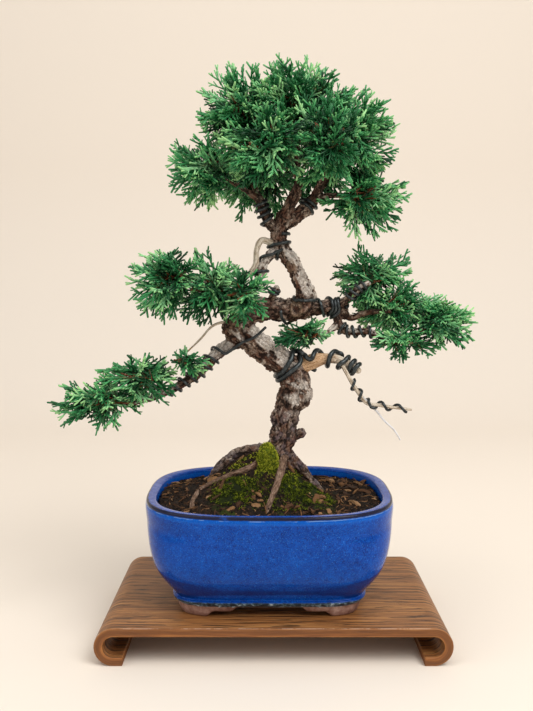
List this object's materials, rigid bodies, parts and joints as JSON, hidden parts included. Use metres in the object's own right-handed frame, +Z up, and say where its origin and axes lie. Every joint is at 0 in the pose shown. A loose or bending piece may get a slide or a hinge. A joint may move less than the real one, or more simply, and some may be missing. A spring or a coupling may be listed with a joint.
{
  "type": "bonsai tree in a pot",
  "caption": "Wired juniper bonsai with pads of scale foliage, in a glazed footed pot of soil and moss on a bentwood display stand.",
  "frame": {"origin": "on the surface under the stand, at the middle of the whole object's box in X and Y", "axes": "+Z up, -Y towards the tree's front, +X to the viewer's right"},
  "size_m": [0.3024, 0.148, 0.4109],
  "materials": {
    "stand_wood": "walnut veneer on bent plywood, fine wavy grain along the width, satin varnish worn pale on the front edge",
    "glaze": "opaque stoneware, glossy cobalt glaze with dark speckle over the body, lavender on the rim with a thin brown break, dark at the foot, bare red-brown clay feet",
    "drain_mesh": "black moulded plastic mesh",
    "soil": "dark crumbly potting soil with orange-brown bark chips",
    "moss": "low velvety yellow-green moss",
    "bark": "flaking grey-brown bark, red-brown below, with pale bare patches and pale tan deadwood",
    "training_wire": "dark anodised soft aluminium wire, satin",
    "foliage": "scale-leaved juniper cordlets, blue-green with lighter yellow-green tips"
  },
  "bodies": {
    "root": {"stand": "stand_wood", "pot": "glaze", "drain_mesh_left": "drain_mesh", "drain_mesh_right": "drain_mesh", "wood": "bark", "soil": "soil", "moss_1": "moss", "moss_2": "moss", "moss_3": "moss", "wire_heavy": "training_wire", "wire_dead_twist": "training_wire", "wire_low_branch": "training_wire", "wire_bar": "training_wire", "wire_up_twig": "training_wire", "wire_low_twig": "training_wire", "wire_neck": "training_wire", "wire_crown": "training_wire", "wire_stem": "training_wire", "wire_stub": "training_wire", "crown_top": "foliage", "crown_top_left": "foliage", "crown_left": "foliage", "crown_front": "foliage", "crown_front_right": "foliage", "crown_right": "foliage", "crown_low_right": "foliage", "crown_back_left": "foliage", "crown_back_right": "foliage", "left_outer": "foliage", "left_inner": "foliage", "left_front": "foliage", "lower_left_tip": "foliage", "lower_left_mid": "foliage", "lower_left_inner": "foliage", "right_top": "foliage", "right_mid": "foliage", "right_tip": "foliage", "right_under": "foliage", "right_fringe": "foliage"}
  },
  "joints": []
}
